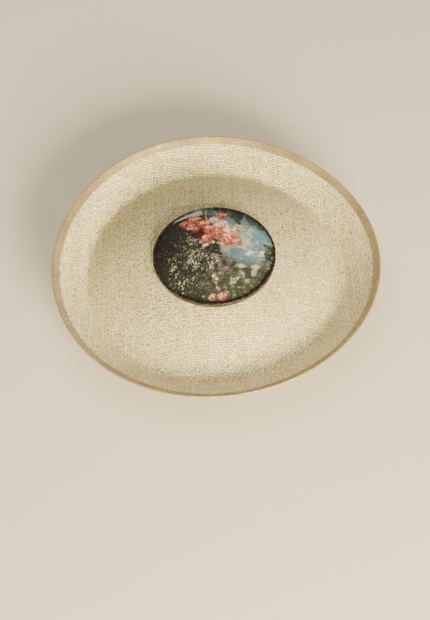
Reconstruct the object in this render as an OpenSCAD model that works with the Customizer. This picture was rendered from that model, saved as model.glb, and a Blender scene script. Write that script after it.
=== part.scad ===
// Saucer hat: a shallow domed crown in an upturned brim, blocked from two plies of sinamay,
// with a domed picture medallion on the crown and a fitted head cap under it.
// Millimetres, +Z up. The hat stands on the flat lower edge of its head cap at z = 0,
// and the hat's axis is the Z axis.

/* [Saucer] */
// Diameter over the edge binding
hat_d = 460; // [400:5:560]
// Width of the upturned brim, from the valley out to the edge
brim_w = 46; // [34:1:58]
// Height of the edge above the valley
brim_rise = 37; // [26:1:46]
// Height of the crown's middle above the valley
crown_rise = 54; // [42:1:66]
// Rounding radius in the valley between crown and brim
valley_fillet = 7; // [5:1:16]
// Thickness of one ply of sinamay
ply_t = 0.6; // [0.4:0.1:0.8]
// Air between two layers of cloth
layer_gap = 0.1; // [0.05:0.05:0.2]

/* [Edge] */
// Diameter of the millinery wire, used in the brim and in the cap
wire_d = 1.0; // [0.8:0.1:1.2]
// Thickness of the folded binding strip
binding_t = 0.5; // [0.3:0.1:0.8]
// Width of the brim's binding on each side
binding_w = 10; // [7:1:14]
// Stitches in the brim's binding
binding_stitch_count = 72; // [36:4:120]
// Length of one stitch
stitch_l = 3; // [2:0.5:5]
// Diameter of the sewing thread
thread_d = 0.5; // [0.4:0.1:0.7]
// Length of the crimped tube that joins a wire's ends
joiner_l = 12; // [8:1:20]
// Wall of the crimped tube
joiner_wall = 0.3; // [0.2:0.05:0.4]

/* [Medallion] */
// Diameter over the medallion's rim
medallion_d = 172; // [138:2:208]
// Height of the clear dome's edge above the crown
edge_h = 5; // [4:0.5:8]
// Height of the dome's middle above its edge
dome_rise = 18; // [14:1:26]
// Wall of the medallion's rim
rim_t = 1.6; // [1.2:0.1:3]
// How far the rim's lip reaches in over the clear dome
rim_lip = 1.2; // [0.6:0.1:2]
// Thickness of the rim's lip
rim_lip_t = 0.8; // [0.5:0.1:1.2]
// Wall of the moulded base
base_wall = 1.8; // [1.4:0.1:3]
// Thickness of the printed picture
picture_t = 0.3; // [0.2:0.1:0.5]
// Thickness of the clear dome
glaze_t = 1.8; // [1:0.1:2.4]

/* [Medallion fastening] */
// Diameter of the buckram disc under the crown
stiffener_d = 140; // [120:2:160]
// Thickness of the buckram disc
stiffener_t = 1.0; // [0.6:0.1:1.4]
// Screws that hold the medallion
screw_count = 3; // [3:1:6]
// Diameter of the circle that the screws stand on
screw_circle_d = 100; // [92:2:112]
// Thread diameter of the screws
screw_d = 3.0; // [2.5:0.5:3.5]
// Length of a screw under its head
screw_l = 7; // [6:0.5:8]
// Diameter of a screw's head
screw_head_d = 5.6; // [5:0.2:7]
// Height of a screw's head
screw_head_h = 1.6; // [1.2:0.2:2]
// Outside diameter of a washer
washer_d = 9; // [8:0.5:11]
// Thickness of a washer
washer_t = 0.6; // [0.4:0.1:0.8]
// Wall of a screw boss
boss_wall = 2; // [1.5:0.25:3]

/* [Head cap] */
// Diameter of the cap over its outer ply at the lower edge
cap_d = 186; // [176:1:224]
// Depth of the cap, from its lower edge to its top
cap_depth = 84; // [70:1:101]
// Squareness of the cap's curve: 2 is an ellipse, and more is fuller in the shoulder
cap_fullness = 2.4; // [2.2:0.1:2.8]
// Width of the binding on the cap's lower edge
cap_binding_w = 9; // [7:1:11]
// Height of the petersham headband
headband_h = 25; // [20:1:30]
// Thickness of the petersham ribbon
ribbon_t = 0.5; // [0.4:0.1:0.8]
// Stitches in the headband
headband_stitch_count = 48; // [24:4:72]
// Thread tacks between cap and crown
tack_count = 12; // [6:1:18]
// Diameter of the circle that the tacks stand on
tack_circle_d = 68; // [60:2:76]
// Diameter of one tack of wound thread
tack_d = 1.0; // [0.8:0.1:1.4]

/* [Bow] */
// Length of one loop of the ribbon bow
bow_loop_l = 11; // [8:1:14]
// Width of the bow's loops at their outer ends
bow_w = 9; // [6:1:11]
// Thickness of a folded loop
bow_t = 1.6; // [1.2:0.2:2.2]
// Width of the bow's knot
bow_knot_w = 4; // [3:0.5:6]

/* [Comb] */
// Diameter of the comb's spine
spine_d = 2.0; // [1.6:0.1:2.4]
// Length of the spine between the middles of its ball ends
spine_l = 66; // [62:1:74]
// Diameter of the ball ends
spine_ball_d = 3.2; // [2.8:0.1:3.6]
// Height of the spine above the cap's lower edge
spine_z = 14; // [13:1:17]
// Hairpin teeth on the comb
tooth_count = 10; // [6:1:10]
// Distance from one hairpin tooth to the next
tooth_pitch = 4.8; // [4.2:0.2:5]
// Length of a tooth
tooth_l = 42; // [34:1:50]
// Diameter of the tooth wire
tooth_wire_d = 1.1; // [0.8:0.1:1.3]
// Width of a thread loop along the spine
loop_w = 5; // [3:0.5:6]
// Wall of a thread loop
loop_wall = 0.8; // [0.6:0.1:1]

/* [Hidden] */

$fn = 64;

// Clearances
turn_clear = 0.05;   // round the spine in its thread loops
wind_clear = 0.02;   // between the spine and the wire wound on it
crimp_clear = 0.05;  // round a wire in its joiner
fold_clear = 0.15;   // between a joiner and the fold round it
screw_clear = 0.05;  // round a screw in its boss
hole_clear = 0.3;    // round a screw in the cloth
fit_clear = 0.15;    // round the medallion's layers in the rim
tip_clear = 0.6;     // past a screw's tip in its boss
seat_gap = 0.3;      // between the cap and the disc or the screws' heads above it
bow_gap = 0.1;       // behind the bow's ends
comb_clear = 0.4;    // between the comb's ends and the headband
tip_room = 2.5;      // between the teeth's tips and the cap's lining
stitch_bite = 0.2;   // how deep a stitch sinks into what it holds

// Profile steps
crown_steps = 28;
fillet_steps = 8;
fold_steps = 10;
dome_steps = 18;
cap_steps = 22;
wall_steps = 4;

// Layers of the saucer, as heights above the surface between its two plies
upper_low = layer_gap / 2;
upper_top = upper_low + ply_t;
under_top = -upper_low;
under_low = -upper_top;
stiffener_top = under_low - layer_gap;
stiffener_low = stiffener_top - stiffener_t;
washer_top = stiffener_low - layer_gap;
washer_low = washer_top - washer_t;
seat = upper_top + layer_gap;

// Crown, a sphere through its middle and the valley
valley_r = hat_d / 2 - brim_w;
crown_radius = (valley_r * valley_r + crown_rise * crown_rise) / (2 * crown_rise);

// Screws' heads, from the crown's middle: how far out and down their lowest inner edge lies
screw_tilt = asin(screw_circle_d / 2 / crown_radius);
head_low_r = crown_radius + washer_low - screw_head_h;
head_in_r = head_low_r * sin(screw_tilt) - screw_head_d / 2 * cos(screw_tilt);
head_drop = crown_radius - head_low_r * cos(screw_tilt) - screw_head_d / 2 * sin(screw_tilt);

// Crown's height, set by its disc on the cap's top or by the heads on the cap's shoulder
cap_r = cap_d / 2;
crown_z = seat_gap + max(cap_depth - stiffener_low, cap_height(0, head_in_r) + head_drop);
crown_centre = [0, crown_z - crown_radius];

// Edge, with the wire's middle on the surface between the plies
wire_r = wire_d / 2;
joiner_r = wire_r + crimp_clear + joiner_wall;
fold_r = joiner_r + fold_clear;
fold_out = fold_r + binding_t;
valley = [valley_r, crown_z - crown_rise];
edge = [hat_d / 2 - fold_out, valley.y + brim_rise];
brim_slope = atan2(edge.y - valley.y, edge.x - valley.x);
along = [cos(brim_slope), sin(brim_slope)];
across = [-sin(brim_slope), cos(brim_slope)];
ply_stop = joiner_r + layer_gap;

// Fillet, which touches the crown from outside and the brim from above
fillet_from = valley + valley_fillet * across - crown_centre;
fillet_reach = pow(crown_radius + valley_fillet, 2) - fillet_from * fillet_from;
fillet_run = sqrt(pow(fillet_from * along, 2) + fillet_reach) - fillet_from * along;
fillet_centre = crown_centre + fillet_from + fillet_run * along;
crown_end = atan2(fillet_centre.x, fillet_centre.y - crown_centre.y);

// Medallion, whose dome is a sphere through its edge and its middle
medallion_r = medallion_d / 2;
rim_in = medallion_r - rim_t;
layers_r = rim_in - fit_clear;
dome_edge_z = crown_at(seat, medallion_r) + edge_h;
dome_radius = (layers_r * layers_r + dome_rise * dome_rise) / (2 * dome_rise);
dome_centre = [0, dome_edge_z + dome_rise - dome_radius];
picture_in = glaze_t + layer_gap;
base_in = picture_in + picture_t + layer_gap;
screw_tip = washer_low + screw_l;

// Head cap, its layers given by how far they lie in from the outer ply's face
lining_in = ply_t + layer_gap;
lining_end = lining_in + ply_t;
cap_middle = lining_end / 2;
leg_out = cap_middle - fold_r;
leg_in = cap_middle + fold_r;
band_in = leg_in + binding_t + layer_gap;
band_end = band_in + ribbon_t;
cap_wire_z = binding_t + layer_gap + joiner_r;
cap_foot_z = cap_wire_z + joiner_r + layer_gap;
band_foot_z = binding_t;
band_stitch_z = cap_binding_w / 2;
tack_r = tack_circle_d / 2;

// Bow, flat behind a chord of the headband on the -X side
bow_reach = bow_knot_w / 2 + bow_loop_l;
bow_z = headband_h / 2 + 1;
bow_x = sqrt(pow(cap_at(band_end, bow_z + bow_w / 2), 2) - bow_reach * bow_reach) - bow_gap;
bow_waist = bow_w / 2;
knot_t = bow_t * 1.4;

// Comb, its spine a chord of the headband on the +Y side
spine_r = spine_d / 2;
loop_bore_r = spine_r + turn_clear;
loop_r = loop_bore_r + loop_wall;
loop_x = spine_l / 2 - spine_ball_d / 2 - comb_clear - loop_w / 2;
foot_r = loop_r * 0.6;
spine_y = sqrt(pow(cap_at(band_end, spine_z + loop_r), 2) - pow(spine_l / 2, 2)) - loop_r - comb_clear;
tooth_r = tooth_wire_d / 2;
tooth_half = tooth_pitch / 4;
teeth_end = tooth_count * tooth_pitch / 2;
tip_reach = cap_at(lining_end, spine_z + tooth_l) - tip_room;
tooth_lean = asin((spine_y - sqrt(pow(tip_reach, 2) - teeth_end * teeth_end)) / tooth_l);
winding_bore_r = spine_r + wind_clear;
winding_r = winding_bore_r + tooth_wire_d;
winding_w = tooth_wire_d * 1.6;

// Points of an arc in the profile plane, its angles counted from +X
function arc(centre, radius, from, to, steps) = [
    for (i = [0:steps])
        let (turn = from + (to - from) * i / steps)
        centre + radius * [cos(turn), sin(turn)]
];

// A line of points in the other order
function back(line) = [for (i = [len(line) - 1:-1:0]) line[i]];

// One closed outline from two lines that run the same way
function between(top, low) = concat(top, back(low));

// Height at radius r of the layer that lies h over the crown's middle surface
function crown_at(h, r) = crown_centre.y + sqrt(pow(crown_radius + h, 2) - r * r);

// That layer from the axis out to radius r
function crown_line(h, r) =
    arc(crown_centre, crown_radius + h, 90, 90 - asin(r / (crown_radius + h)), crown_steps);

// The layer at height h over the whole saucer, out to just short of the brim wire
function saucer_line(h) = concat(
    arc(crown_centre, crown_radius + h, 90, 90 - crown_end, crown_steps),
    arc(fillet_centre, valley_fillet - h, 270 - crown_end, 270 + brim_slope, fillet_steps),
    [edge - ply_stop * along + h * across]
);

// Height at radius r of the layer that lies a depth under the dome's face
function dome_at(depth, r) = dome_centre.y + sqrt(pow(dome_radius - depth, 2) - r * r);

// That layer from the axis out to radius r
function dome_line(depth, r) =
    arc(dome_centre, dome_radius - depth, 90, 90 - asin(r / (dome_radius - depth)), dome_steps);

// Radius at height z of the cap's layer that lies a depth in from its face
function cap_at(depth, z) =
    (cap_r - depth) * pow(1 - pow(z / (cap_depth - depth), cap_fullness), 1 / cap_fullness);

// Height of that layer at radius r
function cap_height(depth, r) =
    (cap_depth - depth) * pow(1 - pow(r / (cap_r - depth), cap_fullness), 1 / cap_fullness);

// Turn of the cap's curve at height z, from 0 at its lower edge to 90 at its top
function cap_turn(depth, z) = asin(pow(z / (cap_depth - depth), cap_fullness / 2));

// That layer between two turns
function cap_arc(depth, from, to, steps) = [
    for (i = [0:steps])
        let (turn = from + (to - from) * i / steps)
        [(cap_r - depth) * pow(cos(turn), 2 / cap_fullness),
         (cap_depth - depth) * pow(sin(turn), 2 / cap_fullness)]
];

// That layer from height z up to the cap's top
function cap_line(depth, z) = cap_arc(depth, cap_turn(depth, z), 90, cap_steps);

// That layer from one height to another on the cap's wall
function wall_line(depth, from, to) =
    cap_arc(depth, cap_turn(depth, from), cap_turn(depth, to), wall_steps);

// Places its children on the crown's middle surface, their Z axis square to the cloth
module on_crown(tilt, turn) {
    rotate([0, 0, turn])
        translate([0, 0, crown_centre.y])
            rotate([0, tilt, 0])
                translate([0, 0, crown_radius])
                    children();
}

// Its children once at each screw
module at_screws() {
    for (i = [0:screw_count - 1])
        on_crown(screw_tilt, (i + 0.5) * 360 / screw_count)
            children();
}

// Clearance holes in the saucer's layers for the medallion's screws
module screw_holes() {
    at_screws()
        cylinder(h = 2 * screw_l, r = screw_d / 2 + hole_clear, center = true);
}

// A round wire bent to a ring
module ring_wire(ring_r, z) {
    translate([0, 0, z])
        rotate_extrude()
            translate([ring_r, 0])
                circle(r = wire_r);
}

// A crimped tube round a ring wire, with its middle on the +Y side
module wire_joiner(ring_r, z) {
    sweep = joiner_l / ring_r * 180 / PI;
    translate([0, 0, z])
        rotate([0, 0, 90 - sweep / 2])
            rotate_extrude(angle = sweep)
                translate([ring_r, 0])
                    difference() {
                        circle(r = joiner_r);
                        circle(r = wire_r + crimp_clear);
                    }
}

// Saucer: upper ply, grain square to the hat, blocked in one piece
module upper_ply() {
    color("palegoldenrod")
        difference() {
            rotate_extrude()
                polygon(between(saucer_line(upper_top), saucer_line(upper_low)));
            screw_holes();
        }
}

// Saucer: under ply, cut on the bias and blocked with the upper one
module under_ply() {
    color("khaki")
        difference() {
            rotate_extrude()
                polygon(between(saucer_line(under_top), saucer_line(under_low)));
            screw_holes();
        }
}

// Edge: millinery wire in the fold of the binding
module brim_wire() {
    color("dimgray")
        ring_wire(edge.x, edge.y);
}

// Edge: crimped tube that joins the brim wire's two ends
module brim_wire_joiner() {
    color("darkgoldenrod")
        wire_joiner(edge.x, edge.y);
}

// Edge: strip of denser sinamay folded over the brim's edge and round its wire
module edge_binding() {
    leg_end = edge - binding_w * along;
    color("goldenrod")
        rotate_extrude()
            polygon(concat(
                [leg_end - fold_out * across],
                arc(edge, fold_out, brim_slope - 90, brim_slope + 90, fold_steps),
                [leg_end + fold_out * across, leg_end + fold_r * across],
                arc(edge, fold_r, brim_slope + 90, brim_slope - 90, fold_steps),
                [leg_end - fold_r * across]
            ));
}

// Edge: slip stitches near the end of the binding's upper leg
module binding_stitches() {
    place = edge - (binding_w - stitch_l) * along + (fold_out - stitch_bite + thread_d / 2) * across;
    color("burlywood")
        for (i = [0:binding_stitch_count - 1])
            rotate([0, 0, (i + 0.5) * 360 / binding_stitch_count])
                translate([place.x, 0, place.y])
                    rotate([0, 90 - brim_slope, 0])
                        cylinder(h = stitch_l, r = thread_d / 2, center = true);
}

// Crown: buckram disc that spreads the medallion's weight
module crown_stiffener() {
    color("wheat")
        difference() {
            rotate_extrude()
                polygon(between(
                    crown_line(stiffener_top, stiffener_d / 2),
                    crown_line(stiffener_low, stiffener_d / 2)
                ));
            screw_holes();
        }
}

// Medallion: moulded dome, hollow below, with a skirt on the crown and a boss for each screw
module medallion_base() {
    hollow_in = base_in + base_wall;
    skirt_in = layers_r - base_wall;
    color("saddlebrown")
        difference() {
            rotate_extrude()
                polygon(between(dome_line(base_in, layers_r), crown_line(seat, layers_r)));
            difference() {
                rotate_extrude()
                    polygon(between(dome_line(hollow_in, skirt_in), crown_line(0, skirt_in)));
                at_screws()
                    translate([0, 0, seat])
                        cylinder(h = dome_rise + edge_h, r = screw_d / 2 + boss_wall);
            }
            at_screws()
                cylinder(h = screw_tip + tip_clear, r = screw_d / 2 + screw_clear);
        }
}

// Medallion: printed picture, laid over the base's dome
module medallion_picture() {
    color("darkslategray")
        rotate_extrude()
            polygon(between(
                dome_line(picture_in, layers_r),
                dome_line(picture_in + picture_t, layers_r)
            ));
}

// Medallion: clear glossy dome over the picture
module medallion_glaze() {
    color("white", 0.3)
        rotate_extrude()
            polygon(between(dome_line(0, layers_r), dome_line(glaze_t, layers_r)));
}

// Medallion: thin dark rim round the layers, its lip over the clear dome's edge
module medallion_rim() {
    lip_r = rim_in - rim_lip;
    lip_top = -fit_clear - rim_lip_t;
    color("black")
        rotate_extrude()
            polygon([
                [medallion_r, crown_at(seat, medallion_r)],
                [medallion_r, dome_at(lip_top, rim_in)],
                [rim_in, dome_at(lip_top, rim_in)],
                [lip_r, dome_at(lip_top, lip_r)],
                [lip_r, dome_at(-fit_clear, lip_r)],
                [rim_in, dome_at(-fit_clear, rim_in)],
                [rim_in, crown_at(seat, rim_in)]
            ]);
}

// Medallion: pan-head screws up through the crown into the bosses
module medallion_screws() {
    color("gold")
        at_screws()
            translate([0, 0, washer_low]) {
                cylinder(h = screw_l, r = screw_d / 2);
                translate([0, 0, -screw_head_h])
                    cylinder(h = screw_head_h, r = screw_head_d / 2);
            }
}

// Medallion: one washer under each screw's head
module screw_washers() {
    color("silver")
        at_screws()
            translate([0, 0, washer_low])
                difference() {
                    cylinder(h = washer_t, r = washer_d / 2);
                    translate([0, 0, -washer_t])
                        cylinder(h = 3 * washer_t, r = screw_d / 2 + hole_clear);
                }
}

// Head cap: outer ply of sinamay, blocked to the head's shape
module cap_outer_ply() {
    color("darkkhaki")
        rotate_extrude()
            polygon(between(cap_line(0, cap_foot_z), cap_line(ply_t, cap_foot_z)));
}

// Head cap: lining ply
module cap_lining_ply() {
    color("tan")
        rotate_extrude()
            polygon(between(cap_line(lining_in, cap_foot_z), cap_line(lining_end, cap_foot_z)));
}

// Head cap: millinery wire in its lower edge
module cap_wire() {
    color("dimgray")
        ring_wire(cap_r - cap_middle, cap_wire_z);
}

// Head cap: crimped tube that joins the cap wire's two ends
module cap_wire_joiner() {
    color("darkgoldenrod")
        wire_joiner(cap_r - cap_middle, cap_wire_z);
}

// Head cap: strip folded under its lower edge, flat where the hat rests
module cap_binding() {
    color("goldenrod")
        rotate_extrude()
            polygon(concat(
                wall_line(leg_out - binding_t, 0, cap_binding_w),
                back(wall_line(leg_out, binding_t, cap_binding_w)),
                wall_line(leg_in, binding_t, cap_binding_w),
                back(wall_line(leg_in + binding_t, 0, cap_binding_w))
            ));
}

// Head cap: thread tacks that hold its top up against the crown
module cap_tacks() {
    low = cap_height(0, tack_r) - stitch_bite;
    top = crown_at(stiffener_low, tack_r) + stitch_bite;
    color("burlywood")
        for (i = [0:tack_count - 1])
            rotate([0, 0, i * 360 / tack_count])
                translate([tack_r, 0, low])
                    cylinder(h = top - low, r = tack_d / 2);
}

// Head cap: petersham ribbon inside the lower edge, where it meets the head
module headband() {
    color("antiquewhite")
        rotate_extrude()
            polygon(between(
                wall_line(band_in, band_foot_z, headband_h),
                wall_line(band_end, band_foot_z, headband_h)
            ));
}

// Head cap: running stitches along the headband's lower edge
module headband_stitches() {
    lay_r = cap_at(band_end, band_stitch_z) + stitch_bite - thread_d / 2;
    color("burlywood")
        for (i = [0:headband_stitch_count - 1])
            rotate([0, 0, (i + 0.5) * 360 / headband_stitch_count])
                translate([lay_r, 0, band_stitch_z])
                    rotate([90, 0, 0])
                        cylinder(h = stitch_l, r = thread_d / 2, center = true);
}

// Head cap: small flat bow over the headband's join, at the wearer's back
module ribbon_bow() {
    color("antiquewhite")
        translate([-bow_x, 0, bow_z])
            rotate([0, 90, 0]) {
                for (side = [0, 1])
                    mirror([0, side, 0])
                        linear_extrude(bow_t)
                            polygon([
                                [-bow_waist / 2, 0],
                                [bow_waist / 2, 0],
                                [bow_w / 2, bow_reach],
                                [-bow_w / 2, bow_reach]
                            ]);
                translate([-bow_waist / 2 - bow_gap, -bow_knot_w / 2, 0])
                    cube([bow_waist + 2 * bow_gap, bow_knot_w, knot_t]);
            }
}

// Places its children at the comb's spine
module at_spine() {
    translate([0, spine_y, spine_z])
        children();
}

// Comb: straight wire spine with ball ends, which turns in the thread loops
module comb_spine() {
    color("dimgray")
        at_spine() {
            rotate([0, 90, 0])
                cylinder(h = spine_l, r = spine_r, center = true);
            for (side = [-1, 1])
                translate([side * spine_l / 2, 0, 0])
                    sphere(r = spine_ball_d / 2);
        }
}

// One leg of a hairpin tooth, wound once round the spine
module tooth_leg() {
    rotate([0, 90, 0])
        difference() {
            cylinder(h = winding_w, r = winding_r, center = true);
            cylinder(h = 2 * winding_w, r = winding_bore_r, center = true);
        }
    translate([0, 0, winding_bore_r + tooth_r / 2])
        cylinder(h = tooth_l - tooth_half - tooth_r - winding_bore_r - tooth_r / 2, r = tooth_r);
}

// Comb: hairpin teeth that swing with the spine
module comb_teeth() {
    color("gray")
        at_spine()
            rotate([tooth_lean, 0, 0])
                for (i = [0:tooth_count - 1])
                    translate([(i - (tooth_count - 1) / 2) * tooth_pitch, 0, 0]) {
                        for (side = [-1, 1])
                            translate([side * tooth_half, 0, 0])
                                tooth_leg();
                        translate([0, 0, tooth_l - tooth_half - tooth_r])
                            rotate([90, 0, 0])
                                rotate_extrude(angle = 180)
                                    translate([tooth_half, 0])
                                        circle(r = tooth_r);
                    }
}

// Comb: wound thread loops that hold the spine to the headband
module comb_loops() {
    foot_y = loop_bore_r + loop_wall / 4;
    band_y = sqrt(pow(cap_at(band_end, spine_z), 2) - loop_x * loop_x) - spine_y;
    color("burlywood")
        at_spine()
            for (side = [-1, 1])
                translate([side * loop_x, 0, 0]) {
                    rotate([0, 90, 0])
                        difference() {
                            cylinder(h = loop_w, r = loop_r, center = true);
                            cylinder(h = 2 * loop_w, r = loop_bore_r, center = true);
                        }
                    translate([0, foot_y, 0])
                        rotate([-90, 0, 0])
                            cylinder(h = band_y - foot_y + stitch_bite, r = foot_r);
                }
}

upper_ply();
under_ply();
brim_wire();
brim_wire_joiner();
edge_binding();
binding_stitches();
crown_stiffener();
medallion_base();
medallion_picture();
medallion_glaze();
medallion_rim();
medallion_screws();
screw_washers();
cap_outer_ply();
cap_lining_ply();
cap_wire();
cap_wire_joiner();
cap_binding();
cap_tacks();
headband();
headband_stitches();
ribbon_bow();
comb_spine();
comb_teeth();
comb_loops();
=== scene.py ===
import math
import random

import bmesh
import bpy
import numpy as np
from mathutils import Matrix, Vector, noise


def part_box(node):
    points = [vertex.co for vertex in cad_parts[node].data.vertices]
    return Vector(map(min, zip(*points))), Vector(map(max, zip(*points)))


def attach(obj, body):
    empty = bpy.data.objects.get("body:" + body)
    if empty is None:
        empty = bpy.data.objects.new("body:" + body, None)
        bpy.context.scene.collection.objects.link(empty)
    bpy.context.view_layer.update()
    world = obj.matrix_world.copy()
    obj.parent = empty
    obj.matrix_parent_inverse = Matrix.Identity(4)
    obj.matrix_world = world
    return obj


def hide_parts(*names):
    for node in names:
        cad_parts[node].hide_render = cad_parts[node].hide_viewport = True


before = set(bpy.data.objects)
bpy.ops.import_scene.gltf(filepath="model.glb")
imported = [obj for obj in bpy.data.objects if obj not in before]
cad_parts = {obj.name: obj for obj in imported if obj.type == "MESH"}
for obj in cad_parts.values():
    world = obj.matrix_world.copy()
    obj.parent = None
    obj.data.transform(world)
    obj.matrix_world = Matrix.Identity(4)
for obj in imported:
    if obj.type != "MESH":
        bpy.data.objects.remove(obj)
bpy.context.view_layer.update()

# Camera: stands in front of the hat and above it, looking down past its near edge, with a
# long lens so that the round brim keeps its shape. It leans a little to the left.
mm = 0.001
camera_rise = math.radians(52.5)
camera_distance = 2.4
camera_lean = math.radians(2.3)
hat_middle = Vector((0, 0, 69 * mm))
aim_down = 69.4 * mm
aim_left = 2 * mm

camera_away = Vector((0, -math.cos(camera_rise), math.sin(camera_rise)))
camera_up = Vector((0, math.sin(camera_rise), math.cos(camera_rise)))
camera_place = hat_middle + camera_distance * camera_away
camera_aim = hat_middle - aim_down * camera_up - aim_left * Vector((1, 0, 0))
camera_turn = (camera_place - camera_aim).to_track_quat("Z", "Y").to_matrix().to_4x4()
lens = bpy.data.cameras.new("camera")
lens.lens = 99.4
lens.clip_start = 0.05
camera = bpy.data.objects.new("camera", lens)
camera.matrix_world = (
    Matrix.Translation(camera_place) @ camera_turn @ Matrix.Rotation(-camera_lean, 4, "Z")
)
bpy.context.scene.collection.objects.link(camera)
bpy.context.scene.camera = camera


# Saucer: two plies of sinamay, a stiff open plain weave of banana fibre, wetted and blocked
# together into a domed crown and a raised brim. The under ply lies on the bias, so its threads
# cross the upper ply's at 45 degrees. The dried shape is a little out of round at its edge.
brim_width = 46 * mm
crown_rise = 54 * mm
valley_fillet = 7 * mm
half_stack = 0.65 * mm
out_of_round = 0.011
out_of_round_turn = math.radians(-10)

wire_low, wire_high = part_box("brim_wire")
wire_radius = (wire_high[2] - wire_low[2]) / 2
edge = Vector((wire_high[0] - wire_radius, (wire_high[2] + wire_low[2]) / 2))
crown_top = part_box("upper_ply")[1][2] - half_stack
valley = Vector((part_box("edge_binding")[1][0] - brim_width, crown_top - crown_rise))
along_brim = (edge - valley).normalized()
across_brim = Vector((-along_brim.y, along_brim.x))
brim_slope = math.atan2(along_brim.y, along_brim.x)
crown_radius = (valley.x**2 + crown_rise**2) / (2 * crown_rise)
crown_centre = Vector((0, crown_top - crown_radius))
fillet_from = valley + valley_fillet * across_brim - crown_centre
fillet_reach = (crown_radius + valley_fillet) ** 2 - fillet_from.length_squared
fillet_part = fillet_from.dot(along_brim)
fillet_run = math.sqrt(fillet_part**2 + fillet_reach) - fillet_part
fillet_centre = crown_centre + fillet_from + fillet_run * along_brim
crown_end = crown_radius * (fillet_centre - crown_centre).normalized().x
brim_start = fillet_centre.x + valley_fillet * math.sin(brim_slope)


def saucer_profile(radius):
    """Height and slope angle of the surface between the two plies, at a distance from the axis."""
    if radius <= crown_end:
        return (
            crown_centre.y + math.sqrt(crown_radius**2 - radius**2),
            -math.asin(radius / crown_radius),
        )
    if radius < brim_start:
        offset = radius - fillet_centre.x
        return (
            fillet_centre.y - math.sqrt(valley_fillet**2 - offset**2),
            math.asin(offset / valley_fillet),
        )
    return edge.y - (edge.x - radius) * math.tan(brim_slope), brim_slope


def edge_pull(radius, angle):
    """How far the dried shape is pulled out of round, as a factor on the distance from the axis."""
    share = min(max(2 * radius / edge.x - 1, 0), 1)
    share = share * share * (3 - 2 * share)
    return 1 + out_of_round * share * math.cos(3 * (angle - out_of_round_turn))


def on_saucer(radius, angle, lift):
    """The point that lies lift above the surface between the plies."""
    height, slope = saucer_profile(radius)
    reach = (radius - lift * math.sin(slope)) * edge_pull(radius, angle)
    return Vector((
        reach * math.cos(angle), reach * math.sin(angle), height + lift * math.cos(slope)
    ))


def colour(code):
    """Linear colour from an sRGB hex value."""
    parts = [int(code[i : i + 2], 16) / 255 for i in (0, 2, 4)]
    return (*[c / 12.92 if c <= 0.04045 else ((c + 0.055) / 1.055) ** 2.4 for c in parts], 1)


def add_node(material, kind, settings, inputs):
    """Adds a node, sets it, and fills its inputs with values or links them to outputs."""
    made = material.node_tree.nodes.new("ShaderNode" + kind)
    for name, value in settings.items():
        setattr(made, name, value)
    for name, value in inputs.items():
        if isinstance(value, bpy.types.NodeSocket):
            material.node_tree.links.new(value, made.inputs[name])
        else:
            made.inputs[name].default_value = value
    return made


def new_material(name, values):
    """A material with its shader's own sockets set, and that shader."""
    material = bpy.data.materials.new(name)
    material.use_nodes = True
    shader = material.node_tree.nodes["Principled BSDF"]
    for socket, value in values.items():
        shader.inputs[socket].default_value = value
    return material, shader


def feed(shader, socket, source):
    """Links an output to one of the shader's sockets."""
    shader.id_data.links.new(source, shader.inputs[socket])


def own_place(material):
    """The place on the piece, in its Object coordinates."""
    return add_node(material, "TexCoord", {}, {}).outputs["Object"]


def ramp(material, factor, stops):
    """Colours or greys that change along a factor, from (place, colour) stops."""
    made = add_node(material, "ValToRGB", {}, {"Fac": factor})
    bands = made.color_ramp.elements
    while len(bands) < len(stops):
        bands.new(0.5)
    for band, (place, shade) in zip(bands, stops):
        band.position = place
        band.color = shade
    return made.outputs["Color"]


def blotches(material, place, size, detail):
    """Soft irregular blotches of about a size, as a factor."""
    made = add_node(
        material, "TexNoise", {}, {"Vector": place, "Scale": 1 / size, "Detail": float(detail)}
    )
    return made.outputs["Fac"]


def add_bump(material, shader, height, strength, distance):
    """Lets a height roughen the shader's surface."""
    made = add_node(
        material, "Bump", {}, {"Height": height, "Strength": strength, "Distance": distance}
    )
    feed(shader, "Normal", made.outputs["Normal"])


def add_gold(material, shader, speck, edges, straw, gold, dull, bright):
    """Colours the shader straw, with metallic flecks of gold where the speck factor is high."""
    is_gold = ramp(material, speck, [(edges[0], (0, 0, 0, 1)), (edges[1], (1, 1, 1, 1))])
    mixed = add_node(
        material, "Mix", {"data_type": "RGBA"}, {"Factor": is_gold, "A": straw, "B": gold}
    ).outputs[2]
    rough = add_node(
        material, "MapRange", {}, {"Value": is_gold, "To Min": dull, "To Max": bright}
    ).outputs["Result"]
    feed(shader, "Base Color", mixed)
    feed(shader, "Metallic", is_gold)
    feed(shader, "Roughness", rough)
    return is_gold


def add_part(whole, part):
    """Adds a finished bmesh to another and frees it."""
    mesh = bpy.data.meshes.new("part")
    part.to_mesh(mesh)
    part.free()
    whole.from_mesh(mesh)
    bpy.data.meshes.remove(mesh)


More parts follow.
